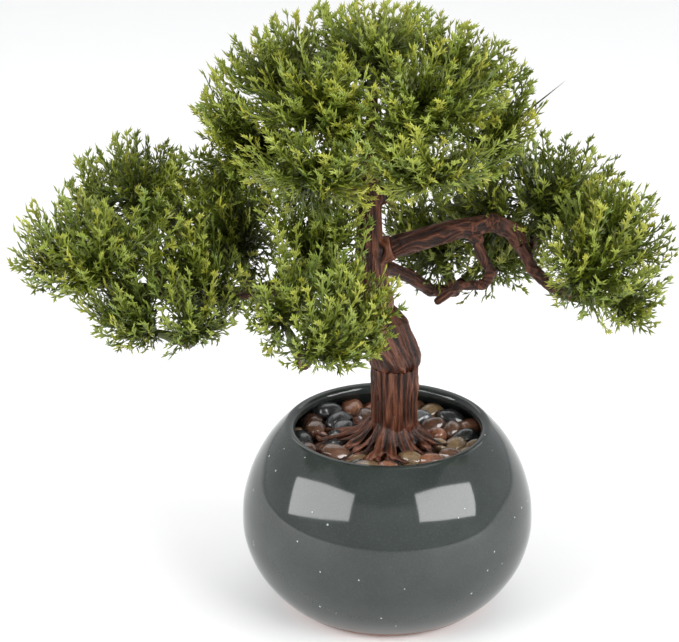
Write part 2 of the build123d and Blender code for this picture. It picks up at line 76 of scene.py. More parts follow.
class PotSettings(bpy.types.PropertyGroup):
    """The thrown pot and its glaze."""

    wall: bpy.props.FloatProperty(
        name="Wall", description="Thickness of the wall", default=0.005, unit="LENGTH"
    )
    belly_height: bpy.props.FloatProperty(
        name="Belly height", description="Base to the widest part", default=0.0365, unit="LENGTH"
    )
    mouth_radius: bpy.props.FloatProperty(
        name="Mouth", description="Middle of the rounded lip", default=0.0406, unit="LENGTH"
    )
    foot_radius: bpy.props.FloatProperty(
        name="Foot", description="Radius of the flat base", default=0.0368, unit="LENGTH"
    )
    glaze_line: bpy.props.FloatProperty(
        name="Glaze line", description="Bare clay below this height", default=0.0034, unit="LENGTH"
    )
    throwing: bpy.props.FloatProperty(
        name="Throwing marks", description="Depth of the faint rings", default=0.00006, unit="LENGTH"
    )
    glaze: bpy.props.FloatVectorProperty(
        name="Glaze", description="Colour of the glaze", subtype="COLOR", default=(0.023, 0.028, 0.026)
    )
    clay: bpy.props.FloatVectorProperty(
        name="Clay", description="Colour of the bare foot", subtype="COLOR", default=(0.33, 0.12, 0.06)
    )


class PebbleSettings(bpy.types.PropertyGroup):
    """The pebbles over the glue."""

    largest: bpy.props.FloatProperty(
        name="Largest", description="Half length of the largest pebbles", default=0.007, unit="LENGTH"
    )
    smallest: bpy.props.FloatProperty(
        name="Smallest", description="Half length of the smallest", default=0.003, unit="LENGTH"
    )
    tries: bpy.props.IntProperty(
        name="Tries", description="Places tried when the pebbles are strewn", default=2600
    )
    seed: bpy.props.IntProperty(name="Seed", description="Which strewing", default=7)


class BarkSettings(bpy.types.PropertyGroup):
    """The moulded bark of the trunk and the limbs."""

    voxel: bpy.props.FloatProperty(
        name="Grid", description="Size of the grid that fuses a moulding", default=0.00042, unit="LENGTH"
    )
    ridge: bpy.props.FloatProperty(
        name="Ridge", description="Height of the ridges on the trunk", default=0.00075, unit="LENGTH"
    )
    pitch: bpy.props.FloatProperty(
        name="Pitch", description="Distance between ridges", default=0.0013, unit="LENGTH"
    )
    dark: bpy.props.FloatVectorProperty(
        name="Furrows", description="Colour in the furrows", subtype="COLOR", default=(0.012, 0.0042, 0.0022)
    )
    light: bpy.props.FloatVectorProperty(
        name="Ridges", description="Colour on the ridges", subtype="COLOR", default=(0.115, 0.034, 0.015)
    )


class LeafSettings(bpy.types.PropertyGroup):
    """The leaf sprays."""

    crown_fronds: bpy.props.IntProperty(
        name="Crown", description="Fronds on each spray of the crown", default=112
    )
    pad_fronds: bpy.props.IntProperty(
        name="Cushions", description="Fronds on each other spray", default=84
    )
    leaflet: bpy.props.FloatProperty(
        name="Leaflet", description="Length of the longest leaflets", default=0.0064, unit="LENGTH"
    )
    leaflet_pitch: bpy.props.FloatProperty(
        name="Pitch", description="From one leaflet to the next", default=0.0021, unit="LENGTH"
    )
    finger_width: bpy.props.FloatProperty(
        name="Finger", description="Width of a leaf finger", default=0.00105, unit="LENGTH"
    )
    # The tip colour is partly painted light: the fronds' outer ends are made lighter where light falls on the
    # outside of the cushions
    tip: bpy.props.FloatVectorProperty(
        name="Tips", description="Colour of the young tips", subtype="COLOR", default=(0.36, 0.415, 0.06)
    )
    middle: bpy.props.FloatVectorProperty(
        name="Leaves", description="Colour of the leaves", subtype="COLOR", default=(0.1, 0.134, 0.004)
    )
    # The stem colour is also painted shade: the frond bases deep inside the cushions take it
    heart: bpy.props.FloatVectorProperty(
        name="Stems", description="Colour of the stems", subtype="COLOR", default=(0.018, 0.029, 0.0012)
    )


class StageSettings(bpy.types.PropertyGroup):
    """The camera."""

    target: bpy.props.FloatVectorProperty(
        name="Aim",
        description="What the camera looks at",
        subtype="TRANSLATION",
        default=(-0.0198, 0.0, 0.1231),
    )
    distance: bpy.props.FloatProperty(
        name="Distance", description="Camera to aim", default=1.05, unit="LENGTH"
    )
    pitch: bpy.props.FloatProperty(
        name="Look down", description="Camera's tilt down", subtype="ANGLE", default=math.radians(22.66)
    )
    lens: bpy.props.FloatProperty(name="Lens", description="Focal length in mm", default=138.13)


SETTINGS = {
    "conifer_pot": PotSettings,
    "conifer_pebbles": PebbleSettings,
    "conifer_bark": BarkSettings,
    "conifer_leaves": LeafSettings,
    "conifer_stage": StageSettings,
}


# --- Noise and mesh helpers -------------------------------------------------------------

LATTICE = np.random.default_rng(11).random((32, 32, 32)).astype(np.float32)


def value_noise(points):
    """Smooth noise from 0 to 1 at an array of points, one unit to a cell."""
    cell = np.floor(points).astype(int)
    part = points - cell
    part = part * part * (3 - 2 * part)
    total = np.zeros(len(points))
    for corner in np.ndindex(2, 2, 2):
        index = (cell + corner) % 32
        weight = np.ones(len(points))
        for axis in range(3):
            side = part[:, axis]
            weight *= side if corner[axis] else 1 - side
        total += weight * LATTICE[index[:, 0], index[:, 1], index[:, 2]]
    return total


def layered_noise(points, layers=3):
    total, share = np.zeros(len(points)), 0.0
    for k in range(layers):
        total += value_noise(points * 2.03**k + 7.1 * k) / 2**k
        share += 1 / 2**k
    return total / share


def unit(vectors):
    return vectors / np.maximum(np.linalg.norm(vectors, axis=-1, keepdims=True), 1e-12)


def new_object(name, points, faces, smooth=True):
    mesh = bpy.data.meshes.new(name)
    mesh.from_pydata([tuple(p) for p in points], [], [tuple(f) for f in faces])
    if smooth:
        mesh.polygons.foreach_set("use_smooth", [True] * len(mesh.polygons))
    mesh.validate()
    piece = bpy.data.objects.new(name, mesh)
    bpy.context.scene.collection.objects.link(piece)
    return piece


def set_value(piece, name, values):
    """Stores one number for each point of the mesh, for its material."""
    layer = piece.data.attributes.new(name, "FLOAT", "POINT")
    layer.data.foreach_set("value", np.asarray(values, np.float32))


def mesh_points(mesh):
    flat = np.empty(len(mesh.vertices) * 3, np.float32)
    mesh.vertices.foreach_get("co", flat)
    return flat.reshape(-1, 3).astype(float)


def mesh_normals(mesh):
    flat = np.empty(len(mesh.vertices) * 3, np.float32)
    mesh.vertices.foreach_get("normal", flat)
    return flat.reshape(-1, 3).astype(float)


def finish_piece(piece, body, slot, material, *nodes):
    piece.data.materials.clear()
    piece.data.materials.append(material)
    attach(piece, body)
    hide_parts(*nodes)
    return piece


# --- Shader parts -----------------------------------------------------------------------


class Shader:
    """A material with a Principled shader, or a node group, being put together."""

    def __init__(self, tree):
        self.tree = tree

    def node(self, kind, values=(), **settings):
        node = self.tree.nodes.new(kind)
        for name, value in settings.items():
            setattr(node, name, value)
        for socket, value in dict(values).items():
            self.put(node.inputs[socket], value)
        return node

    def put(self, socket, value):
        if isinstance(value, bpy.types.NodeSocket):
            self.tree.links.new(value, socket)
        elif isinstance(value, tuple) and len(value) == 3 and socket.type == "RGBA":
            socket.default_value = (*value, 1.0)
        else:
            socket.default_value = value

    def math(self, operation, first, second=0.0, clamp=False):
        node = self.node("ShaderNodeMath", operation=operation, use_clamp=clamp)
        self.put(node.inputs[0], first)
        self.put(node.inputs[1], second)
        return node.outputs[0]

    def mix(self, factor, first, second, blend="MIX"):
        node = self.node("ShaderNodeMix", data_type="RGBA", blend_type=blend)
        self.put(node.inputs[0], factor)
        self.put(node.inputs[6], first)
        self.put(node.inputs[7], second)
        return node.outputs[2]

    def spread(self, value, low, high, to_low=0.0, to_high=1.0):
        node = self.node("ShaderNodeMapRange", clamp=True)
        for k, part in enumerate((value, low, high, to_low, to_high)):
            self.put(node.inputs[k], part)
        return node.outputs[0]

    def noise(self, scale, detail=3.0, roughness=0.5, vector=None, stretch=None):
        if vector is None:
            vector = self.node("ShaderNodeTexCoord").outputs["Object"]
        if stretch:
            scaled = self.node("ShaderNodeMapping", {"Scale": stretch})
            self.put(scaled.inputs["Vector"], vector)
            vector = scaled.outputs[0]
        values = {"Vector": vector, "Scale": scale, "Detail": detail, "Roughness": roughness}
        return self.node("ShaderNodeTexNoise", values).outputs["Fac"]

    def value(self, name):
        return self.node("ShaderNodeAttribute", attribute_name=name).outputs["Fac"]

    def bump(self, height, strength, distance):
        values = {"Height": height, "Strength": strength, "Distance": distance}
        return self.node("ShaderNodeBump", values).outputs[0]


def material(name, build):
    made = bpy.data.materials.get(name)
    if made:
        return made
    made = bpy.data.materials.new(name)
    made.use_nodes = True
    shader = Shader(made.node_tree)
    principled = next(n for n in made.node_tree.nodes if n.type == "BSDF_PRINCIPLED")
    for socket, value in build(shader).items():
        shader.put(principled.inputs[socket], value)
    return made


def group(name, inputs, outputs, build):
    """A node group made once. build gets the shader and its inputs and returns its outputs."""
    made = bpy.data.node_groups.get(name)
    if made:
        return made
    made = bpy.data.node_groups.new(name, "ShaderNodeTree")
    for label, kind, value in inputs:
        socket = made.interface.new_socket(label, in_out="INPUT", socket_type=kind)
        socket.default_value = value
    for label, kind in outputs:
        made.interface.new_socket(label, in_out="OUTPUT", socket_type=kind)
    shader = Shader(made)
    source = made.nodes.new("NodeGroupInput")
    sink = made.nodes.new("NodeGroupOutput")
    for label, value in build(shader, source.outputs).items():
        shader.put(sink.inputs[label], value)
    return made


def place(shader, made, values):
    node = shader.node("ShaderNodeGroup", node_tree=made)
    for socket, value in values.items():
        shader.put(node.inputs[socket], value)
    return node.outputs


def mottle_group():
    """Two tones in soft patches."""

    def build(shader, given):
        scaled = shader.node("ShaderNodeVectorMath", operation="SCALE")
        shader.put(scaled.inputs[0], shader.node("ShaderNodeTexCoord").outputs["Object"])
        shader.put(scaled.inputs["Scale"], given["Patches per metre"])
        patches = shader.noise(1.0, 4.0, 0.6, scaled.outputs[0])
        factor = shader.spread(patches, 0.35, 0.65)
        colour = shader.mix(factor, given["First"], given["Second"])
        return {"Colour": colour, "Mask": factor}

    return group(
        "Mottle",
        [
            ("First", "NodeSocketColor", (0.1, 0.1, 0.1, 1)),
            ("Second", "NodeSocketColor", (0.2, 0.2, 0.2, 1)),
            ("Patches per metre", "NodeSocketFloat", 100.0),
        ],
        [("Colour", "NodeSocketColor"), ("Mask", "NodeSocketFloat")],
        build,
    )


# --- Leaf sprays ------------------------------------------------------------------------

# One leaf finger: a point at its root, a diamond where it is widest, and a point at its end
FINGER_POINTS = np.array(
    [(0, 0, 0), (0.42, 0.5, 0), (0.42, 0, 0.5), (0.42, -0.5, 0), (0.42, 0, -0.5), (1, 0, 0)]
)
FINGER_FACES = [(0, 1 + (k + 1) % 4, 1 + k) for k in range(4)]
FINGER_FACES += [(5, 1 + k, 1 + (k + 1) % 4) for k in range(4)]
COLLAR_REACH = 10.2 * MM


class Frond:
    """A flat feathered frond being laid out: X across it, Y out of its face, Z along it."""

    def __init__(self):
        self.points, self.faces, self.ends = [], [], []

    def finger(self, root, lean, length, width, tilt=0.0):
        """lean is the finger's angle from the stem, tilt its angle out of the flat."""
        root = np.array(root, float)
        along = np.array([math.sin(lean), math.sin(tilt), math.cos(lean) * math.cos(tilt)])
        along /= np.linalg.norm(along)
        across = unit(np.array([along[2], 0.0, -along[0]]))
        out = np.cross(along, across)
        shape = FINGER_POINTS * (length, width, width * 0.6)
        placed = root + np.outer(shape[:, 0], along)
        placed += np.outer(shape[:, 1], across) + np.outer(shape[:, 2], out)
        base = 6 * len(self.points)
        self.points.append(placed)
        self.faces += [tuple(i + base for i in face) for face in FINGER_FACES]
        self.ends.append(FINGER_POINTS[:, 0])
        return root + along * length

    def done(self):
        return np.vstack(self.points), np.array(self.faces), np.concatenate(self.ends)


def flat_frond(length, leaves, rng):
    """A frond of this length: its stem, leaflets up both sides and fingers on the leaflets."""
    frond = Frond()
    width = leaves.finger_width
    steps = 4
    for k in range(steps):
        reach = 0.97 * length / steps
        frond.finger((0, 0, reach * k * 0.985), 0.0, reach * 1.3, width * (1.5 - 0.17 * k))
    count = int(0.84 * length / leaves.leaflet_pitch)
    for k in range(count):
        share = k / (count - 1)
        at = length * (0.14 + 0.82 * share)
        side = 1 if k % 2 else -1
        long = leaves.leaflet * (1 - 0.36 * share**2.4) * min(1.0, 0.62 + 1.5 * share)
        long *= rng.uniform(0.82, 1.15)
        lean = side * math.radians(rng.uniform(34, 48) - 16 * share)
        tilt = math.radians(rng.uniform(-36, 36))
        end = frond.finger((0, 0, at), lean, long, width, tilt)
        root = np.array([0, 0, at])
        for part, turn, reach in ((0.32, 0.55, 0.56), (0.52, -0.5, 0.46)):
            if turn > 0 or share < 0.6:
                start = root + (end - root) * part
                frond.finger(start, lean + side * turn, long * reach, width * 0.85, tilt * 0.6)
    for lean in (-0.42, 0.0, 0.42):
        frond.finger((0, 0, length * 0.95), lean, 2.5 * MM if lean else 3.1 * MM, width)
    return frond.done()


def lay_frond(flat, length, root, tip, start_way, end_way, twist):
    """Lays a flat frond along a curve from its root to its tip."""
    span = np.linalg.norm(tip - root)
    first = root + start_way * span * 0.36
    last = tip - end_way * span * 0.36
    t = np.clip(flat[:, 2] / length, -0.02, 1.12)[:, None]
    u = 1 - t
    middle = u**3 * root + 3 * u * u * t * first + 3 * u * t * t * last + t**3 * tip
    way = 3 * u * u * (first - root) + 6 * u * t * (last - first) + 3 * t * t * (tip - last)
    way = unit(way)
    # The frond's face looks away from the spray's middle, turned a little each way
    bend = unit(np.cross(start_way, end_way) + 1e-6 * np.array([0.3, 0.9, 0.2]))
    face = np.cross(bend, end_way)
    across = bend * math.cos(twist) + face * math.sin(twist)
    side = unit(across - way * (way @ across)[:, None])
    return middle + side * flat[:, :1] + np.cross(way, side) * flat[:, 1:2]


def spray_frame(joint):
    """The peg's shoulder, the peg's direction and how far the spray reaches along it."""
    shoulder = np.array(joint["pos_m"], float)
    way = unit(np.array(joint["axis"], float))
    reach = ((mesh_points(frame["nodes"][joint["child"]].data) - shoulder) @ way).max()
    return shoulder, way, reach


def collar_mesh(shoulder, way, around=14):
    """The moulded collar: a ringed sleeve that swells at its mouth and closes at its top."""
    inside = [(6.5, 0.0), (6.5, 1.6), (0.25, 1.6)]
    outside = [(0.25, 2.35), (0.7, 2.6), (1.5, 2.55), (1.9, 2.25), (2.3, 2.4), (3.6, 2.3)]
    outside += [(4.0, 2.0), (4.4, 2.15), (6.0, 2.0), (6.4, 1.8), (6.8, 1.9), (9.0, 1.7)]
    outside += [(10.8, 1.3), (12.6, 0.9), (13.4, 0.0)]
    side = unit(np.cross(way, (0.31, 0.17, 0.93)))
    other = np.cross(way, side)
    points, faces = [], []
    turns = np.linspace(0, 2 * math.pi, around, endpoint=False)
    for up, radius in inside + outside:
        for turn in turns:
            wide = radius * MM * (1 + 0.04 * math.sin(3 * turn + up))
            out = side * math.cos(turn) + other * math.sin(turn)
            points.append(shoulder + way * up * MM + out * wide)
    for row in range(len(inside + outside) - 1):
        low, high = row * around, (row + 1) * around
        for k in range(around):
            after = (k + 1) % around
            faces.append((low + k, low + after, high + after))
            faces.append((low + k, high + after, high + k))
    return np.array(points), np.array(faces)


# One spray of the crown has lost its leaves from a stem that sticks out
BARE_STEM = {"spray": "spray_crown_lower_1", "end": (0.0685, -0.004, 0.2262), "width": 1.3 * MM}


def bare_stem(joint):
    """The stem without leaves, from its spray's collar to its end."""
    shoulder, way, _ = spray_frame(joint)
    root = shoulder + way * COLLAR_REACH
    run = np.array(BARE_STEM["end"]) - root
    frond = Frond()
    frond.finger((0, 0, 0), 0.0, np.linalg.norm(run), BARE_STEM["width"])
    flat, faces, _ = frond.done()
    heading = unit(run)
    side = unit(np.cross(heading, (0, 1, 0)))
    points = root + flat[:, :1] * side + flat[:, 1:2] * np.cross(heading, side)
    points += flat[:, 2:] * heading
    return points, faces, np.full(len(points), 0.0), 0.1


def pads():
    """The cushions of leaves: for each, its sprays and the ball that it fills."""
    sprays = {}
    for joint in frame["joints"]:
        name = joint["child"].removeprefix("spray_")
        pad = "crown" if name.startswith("crown") else name.rstrip("_0123456789")
        sprays.setdefault(pad, []).append(joint)
    leaves = bpy.context.scene.conifer_leaves
    found = []
    for pad, joints in sorted(sprays.items()):
        corners = np.array([[list(c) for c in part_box(joint["child"])] for joint in joints])
        low, high = corners[:, 0].min(0), corners[:, 1].max(0)
        grow = PAD_GROWTH.get(pad, PAD_GROWTH["other"])
        low = low - np.array(grow[0]) * MM
        high = high + np.array(grow[1]) * MM
        crowd = leaves.crown_fronds if pad == "crown" else leaves.pad_fronds
        found.append((pad, joints, (low + high) / 2, (high - low) / 2, crowd))
    return found


# How far each cushion stands past the box round its sprays' moulded cores, in mm: to the
# left, front and bottom, and to the right, rear and top
PAD_GROWTH = {
    "crown": ((3, 2, 12), (-1, 2, -3)),
    "left_outer": ((0, 4, 0), (8, 8, 12)),
    "left_upper": ((-1, 4, 12), (9, 2, -2)),
    "left_lower": ((12, 4, 0), (8, 12, 10)),
    "left_middle": ((14, 12, 8), (10, 4, 12)),
    "front_outer": ((0, 4, 1), (5, 10, 12)),
    "front_inner": ((10, 8, 6), (10, 8, 8)),
    "right_outer": ((10, 8, -5), (3, 10, 17)),
    "right_rear": ((8, 10, 10), (12, 4, 6)),
    "rear": ((10, 8, 10), (10, 2, 6)),
    "other": ((6, 6, 6), (6, 6, 6)),
}


# Tufts that close the gaps between cushions: middle, half sizes and number of fronds
TUFTS = (
    ((-0.0235, -0.036, 0.202), (0.017, 0.014, 0.013), 46),
    ((0.004, -0.036, 0.204), (0.017, 0.014, 0.013), 46),
    ((-0.0085, -0.044, 0.222), (0.017, 0.014, 0.015), 46),
    ((-0.0121, -0.046, 0.208), (0.014, 0.012, 0.011), 30),
    ((-0.0351, -0.020, 0.1815), (0.018, 0.014, 0.014), 56),
    ((-0.0185, -0.022, 0.178), (0.012, 0.012, 0.012), 34),
    ((-0.087, -0.018, 0.168), (0.017, 0.014, 0.02), 50),
    ((-0.078, -0.006, 0.178), (0.018, 0.014, 0.014), 40),
    ((-0.0551, -0.004, 0.182), (0.018, 0.014, 0.012), 40),
    ((-0.0747, 0.004, 0.186), (0.014, 0.012, 0.012), 34),
    ((0.0055, 0.030, 0.1585), (0.012, 0.012, 0.012), 34),
    ((0.0334, 0.022, 0.145), (0.018, 0.012, 0.01), 40),
    ((0.085, 0.0, 0.172), (0.016, 0.014, 0.012), 44),
    ((-0.0125, -0.05, 0.1335), (0.013, 0.012, 0.009), 30),
    ((0.097, -0.016, 0.133), (0.011, 0.012, 0.008), 26),
    ((-0.121, -0.024, 0.151), (0.012, 0.012, 0.009), 26),
)


def pad_tips(centre, radii, count, rng):
    """Where the fronds of a cushion end: evenly over its ball, few of them underneath."""
    tips = []
    for k in range(count):
        rise = 1 - 1.8 * (k + 0.5) / count
        turn = k * math.radians(137.508)
        flat = math.sqrt(max(0.0, 1 - rise * rise))
        ball = np.array([flat * math.cos(turn), flat * math.sin(turn), rise])
        ball = unit(ball + rng.normal(0, 0.07, 3))
        depth = rng.choice((0.97, 0.78, 0.56), p=(0.46, 0.3, 0.24)) * rng.uniform(0.92, 1.03)
        tips.append((centre + ball * radii * depth, unit(ball / radii), depth))
    return tips


# A frond's tip lies this far from the collar that it grows from
SHORTEST_FROND, LONGEST_FROND = 9 * MM, 52 * MM


def nearest_spray(frames, own, tip):
    """The number of the spray, out of those in own, that a frond with this tip grows from."""
    costs = []
    for k in own:
        shoulder, way, reach = frames[k]
        middle = shoulder + way * 0.62 * reach
        heading = (tip - shoulder) @ way / np.linalg.norm(tip - shoulder)
        costs.append(np.linalg.norm(tip - middle) + 18 * MM * max(0.0, 0.5 - heading))
    return own[int(np.argmin(costs))]


def leaf_material():
    leaves = bpy.context.scene.conifer_leaves

    def build(shader):
        tip = shader.value("tip")
        tint = shader.value("tint")
        # Stem colour at a frond's base, leaf colour midway, tip colour at its end: the stems are really darker,
        # the rest of this change is painted light and shade
        low = shader.mix(shader.spread(tip, 0.0, 0.5), tuple(leaves.heart), tuple(leaves.middle))
        colour = shader.mix(shader.spread(tip, 0.5, 1.0), low, tuple(leaves.tip))
        warm = shader.mix(1.0, colour, (1.35, 1.12, 0.9), "MULTIPLY")
        deep = shader.mix(1.0, colour, (0.55, 0.66, 0.6), "MULTIPLY")
        colour = shader.mix(shader.spread(tint, 0.55, 1.0), colour, warm)
        colour = shader.mix(shader.spread(tint, 0.45, 0.0), colour, deep)
        blotch = shader.noise(420.0, 3.0)
        colour = shader.mix(shader.spread(blotch, 0.5, 0.8, 0.0, 0.3), colour, (0.26, 0.3, 0.06))
        height = shader.noise(2600.0, 2.0)
        return {
            "Base Color": colour,
            "Roughness": shader.spread(blotch, 0.3, 0.7, 0.34, 0.5),
            "Specular IOR Level": 0.5,
            "Normal": shader.bump(height, 0.25, 0.00012),
        }

    return material("Moulded leaf", build)


class CONIFER_OT_sprays(bpy.types.Operator):
    """Make the leaf sprays, one on each peg"""

    bl_idname = "conifer.sprays"
    bl_label = "Leaf sprays"

    def execute(self, context):
        leaves = context.scene.conifer_leaves
        rng = np.random.default_rng(5)
        lengths = [k * MM for k in (18, 22, 26, 31, 36, 42)]
        flats = {length: [flat_frond(length, leaves, rng) for _ in range(3)] for length in lengths}
        finish = leaf_material()
        up = np.array([0.0, 0.0, 1.0])
        joints = frame["joints"]
        frames = [spray_frame(joint) for joint in joints]
        grown = []
        for shoulder, way, _ in frames:
            points, faces = collar_mesh(shoulder, way)
            grown.append([(points, faces, np.full(len(points), 0.18), 0.45)])
        every = range(len(joints))
        balls = [
            (pad == "crown", [joints.index(joint) for joint in own], centre, radii, crowd * len(own))
            for pad, own, centre, radii, crowd in pads()
        ]
        balls += [(False, every, np.array(at), np.array(half), n) for at, half, n in TUFTS]
        for crown, own, centre, radii, count in balls:
            for tip, normal, depth in pad_tips(centre, radii, count, rng):
                chosen = nearest_spray(frames, own, tip)
                shoulder, way, _ = frames[chosen]
                root = shoulder + way * (COLLAR_REACH + rng.uniform(-1.0, 5.0) * MM)
                span = np.linalg.norm(tip - root)
                if not SHORTEST_FROND < span < LONGEST_FROND:
                    continue
                heading = (tip - root) / span
                start_way = unit(way * 0.6 + heading * 0.9)
                rise = 0.62 if crown else 0.85
                end_way = heading * 0.45 + normal * 0.3 + up * rise * min(1.0, 1.3 + normal[2])
                end_way = unit(end_way + rng.normal(0, 0.14, 3))
                length = min(lengths, key=lambda each: abs(each - span))
                flat, faces, ends = flats[length][rng.integers(3)]
                twist = rng.normal(0, 0.6)
                placed = lay_frond(flat, length, root, tip, start_way, end_way, twist)
                # The tip value rises along each frond and towards each finger's end: real darker stems at the
                # base, painted shade at the frond bases inside the cushion, painted light on its outside
                along = np.clip(flat[:, 2] / length, 0, 1)
                value = np.clip(-0.12 + 0.74 * along**1.25 + 0.34 * ends * along, 0, 1)
                # Fronds that end deep inside the cushion are made darker: painted shade
                value *= 0.45 + 0.55 * min(1.0, depth)
                grown[chosen].append((placed, faces, value, rng.random()))
        for joint, parts in zip(joints, grown):
            node = joint["child"]
            if node == BARE_STEM["spray"]:
                parts.append(bare_stem(joint))
            base = np.cumsum([0] + [len(part[0]) for part in parts])
            faces = np.vstack([part[1] + start for part, start in zip(parts, base)])
            points = np.vstack([part[0] for part in parts])
            piece = new_object("leaf_" + node, points, faces.tolist(), smooth=False)
            set_value(piece, "tip", np.concatenate([part[2] for part in parts]))
            tints = [np.full(len(part[0]), part[3]) for part in parts]
            set_value(piece, "tint", np.concatenate(tints))
            finish_piece(piece, node, "foliage", finish, node)
        return {"FINISHED"}


# --- Bark -------------------------------------------------------------------------------


def fused(node, voxel, smoothing):
    """The node's shape on an even grid, its edges softened as a mould softens them."""
    shape = frame["nodes"][node].data.copy()
    if node == "trunk_stump":
        points, faces = rootlet_mesh(np.random.default_rng(4))
        whole = mesh_points(shape)
        corners = [tuple(p.vertices) for p in shape.polygons]
        corners += [tuple(i + len(whole) for i in face) for face in faces]
        shape = bpy.data.meshes.new("stump_with_rootlets")
        shape.from_pydata([tuple(p) for p in [*whole, *points]], [], corners)
    work = bpy.data.objects.new("work", shape)
    bpy.context.scene.collection.objects.link(work)
    grid = work.modifiers.new("grid", "REMESH")
    grid.mode = "VOXEL"
    grid.voxel_size = voxel
    soften = work.modifiers.new("soften", "SMOOTH")
    soften.factor = 0.5
    soften.iterations = smoothing
    bpy.context.view_layer.update()
    graph = bpy.context.evaluated_depsgraph_get()
    mesh = bpy.data.meshes.new_from_object(work.evaluated_get(graph))
    bpy.data.objects.remove(work)
    return mesh


def grain_lines(points, reach):
    """For each point: the middle of the limb beside it and the direction that it runs."""
    rng = np.random.default_rng(3)
    source = points[rng.choice(len(points), min(5000, len(points)), False)]
    spots = source[:: max(1, len(source) // 120)]
    middles, ways = [], []
    for spot in spots:
        near = source[np.linalg.norm(source - spot, axis=1) < reach]
        middle = near.mean(0)
        _, vectors = np.linalg.eigh(np.cov((near - middle).T) + np.eye(3) * 1e-12)
        middles.append(middle)
        ways.append(vectors[:, -1])
    middles, ways = np.array(middles), np.array(ways)
    outer = ways[:, :, None] * ways[:, None, :]
    all_middles = np.zeros_like(points)
    tensors = np.zeros((len(points), 3, 3))
    total = np.zeros(len(points))
    for middle, tensor in zip(middles, outer):
        weight = np.exp(-((points - middle) ** 2).sum(1) / (2 * (0.45 * reach) ** 2)) + 1e-9
        all_middles += weight[:, None] * middle
        tensors += weight[:, None, None] * tensor
        total += weight
    _, vectors = np.linalg.eigh(tensors / total[:, None, None])
    return all_middles / total[:, None], vectors[:, :, -1]


def strands(points, node, pitch):
    """Places in the noise that run in long strands along the wood."""
    if node == "trunk_stump":
        # The strands come down the stump and run out along the roots
        low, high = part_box("trunk_knee")
        middle = (low + high) / 2
        flat = points - np.array([middle.x, middle.y, 0.0])
        radius = np.linalg.norm(flat[:, :2], axis=1)
        round_it = unit(flat * (1, 1, 0)) * 11 * MM / pitch
        return round_it + np.outer((points[:, 2] - radius) / (16 * MM), (0, 0, 1))
    reach = 21 * MM if node.startswith("trunk") else 7 * MM
    middles, ways = grain_lines(points, reach)
    across = points - middles
    across -= ways * (across * ways).sum(1)[:, None]
    size = np.linalg.norm(across, axis=1)
    girth = np.median(size)
    round_it = across / np.maximum(size, 0.3 * girth)[:, None] * girth / pitch
    return round_it + ways * ((points * ways).sum(1) / (14 * MM))[:, None]


def knee_lip(points, normals):
    """How far the knee's lower edge hangs out over the stump."""
    low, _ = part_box("trunk_knee")
    level = np.exp(-(((points[:, 2] - low.z - 3.2 * MM) / (2.6 * MM)) ** 2))
    return 1.5 * MM * level * np.clip(normals @ np.array([0.75, -0.66, -0.1]), 0, 1)


def rootlet_mesh(rng):
    """Thin wandering roots that drape over the pebbles, as tubes for the stump's grid."""
    low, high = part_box("trunk_knee")
    foot = np.array([(low.x + high.x) / 2, (low.y + high.y) / 2, BED_TOP])
    points, faces = [], []

    def tube(line, radii, sides=7):
        base = len(points)
        for k, (spot, radius) in enumerate(zip(line, radii)):
            ahead = unit(line[min(k + 1, len(line) - 1)] - line[max(k - 1, 0)])
            side = unit(np.cross(ahead, (0.05, 0.03, 1.0)))
            above = np.cross(side, ahead)
            for j in range(sides):
                turn = 2 * math.pi * j / sides
                points.append(
                    spot + side * radius * 1.25 * math.cos(turn) + above * radius * math.sin(turn)
                )
        rings = len(line)
        for k in range(rings - 1):
            for j in range(sides):
                after = (j + 1) % sides
                low_ring, high_ring = base + k * sides, base + (k + 1) * sides
                faces.append((low_ring + j, low_ring + after, high_ring + after, high_ring + j))
        faces.append(tuple(base + j for j in reversed(range(sides))))
        faces.append(tuple(base + (rings - 1) * sides + j for j in range(sides)))

    for turn, reach, radius in ROOTLETS:
        forks = rng.integers(1, 3)
        for fork in range(forks):
            heading = math.radians(turn) + rng.normal(0, 0.06)
            drift = rng.normal(0, 0.35) + (fork - (forks - 1) / 2) * 0.6
            end = reach * rng.uniform(0.9, 1.15)
            wave = rng.uniform(0, 6.3)
            line, radii = [], []
            for k in range(22):
                share = k / 21
                out = (7.5 + (end - 7.5) * share) * MM
                bend = heading + drift * share * share + 0.09 * math.sin(5 * share + wave)
                rise = 7.5 * (1 - share) ** 5 + 8.2 - 3.2 * share**2.2
                rise += 0.9 * math.sin(9 * share + 2 * wave) * share
                line.append(foot + (out * math.cos(bend), out * math.sin(bend), rise * MM))
                radii.append(0.64 * radius * MM * (1 - 0.35 * share))
            inside = [p for p in line if math.hypot(p[0], p[1]) < ROOT_LIMIT]
            tube(np.array(inside), radii[: len(inside)])
    return points, faces


# The roots stay within this radius, clear of the pot's wall
ROOT_LIMIT = 36.5 * MM

# Roots that drape over the pebbles: direction in degrees, reach and thickness in mm
ROOTLETS = (
    (-150, 34, 1.7),
    (-128, 36, 1.6),
    (-108, 30, 1.8),
    (-90, 27, 2.1),
    (-72, 26, 1.9),
    (-48, 30, 1.7),
    (-25, 30, 1.6),
    (-4, 31, 1.7),
    (18, 28, 1.5),
    (45, 26, 1.5),
    (100, 26, 1.5),
    (140, 28, 1.5),
    (163, 33, 1.7),
    (184, 36, 1.9),
    (198, 35, 1.6),
)


